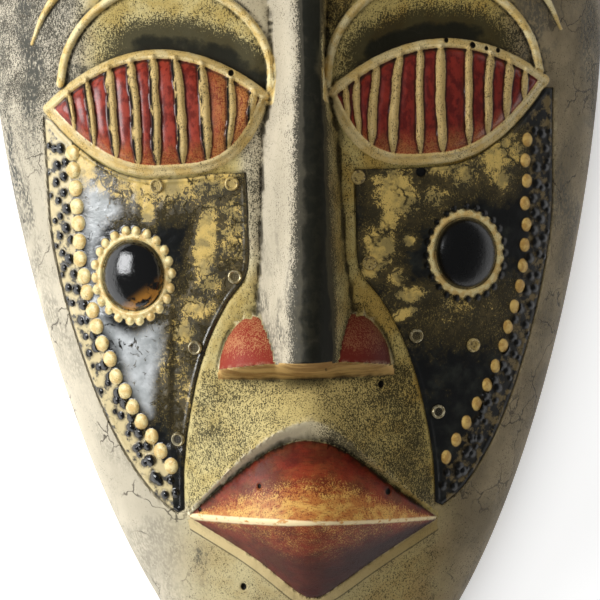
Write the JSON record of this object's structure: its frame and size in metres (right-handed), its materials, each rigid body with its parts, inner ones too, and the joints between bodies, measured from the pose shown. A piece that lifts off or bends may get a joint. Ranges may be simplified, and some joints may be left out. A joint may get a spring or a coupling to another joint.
{
  "type": "carved wooden face mask with embossed metal cheek plates",
  "caption": "Hollow carved wooden face mask with ribbed almond eyes, a long nose, a diamond mouth and two embossed sheet-metal cheek plates nailed on.",
  "frame": {"origin": "middle of the mask's outline, on the surface that its back rim lies on", "axes": "+Z out of the face, +Y to the crown, +X to the viewer's right"},
  "size_m": [0.192, 0.344, 0.0812],
  "materials": {
    "stained_wood": "rubbed tan and black stain over light wood, with red paint in the eyes, the nostrils and the mouth",
    "painted_sheet_metal": "thin embossed sheet, glossy black with tan paint rubbed on its high places",
    "nail_steel": "small worn nail heads"
  },
  "bodies": {
    "root": {"carved_mask": "stained_wood", "left_cheek_plate": "painted_sheet_metal", "right_cheek_plate": "painted_sheet_metal", "left_plate_nail_1": "nail_steel", "left_plate_nail_2": "nail_steel", "left_plate_nail_3": "nail_steel", "left_plate_nail_4": "nail_steel", "left_plate_nail_5": "nail_steel", "right_plate_nail_1": "nail_steel", "right_plate_nail_2": "nail_steel", "right_plate_nail_3": "nail_steel", "right_plate_nail_4": "nail_steel", "right_plate_nail_5": "nail_steel"}
  },
  "joints": []
}
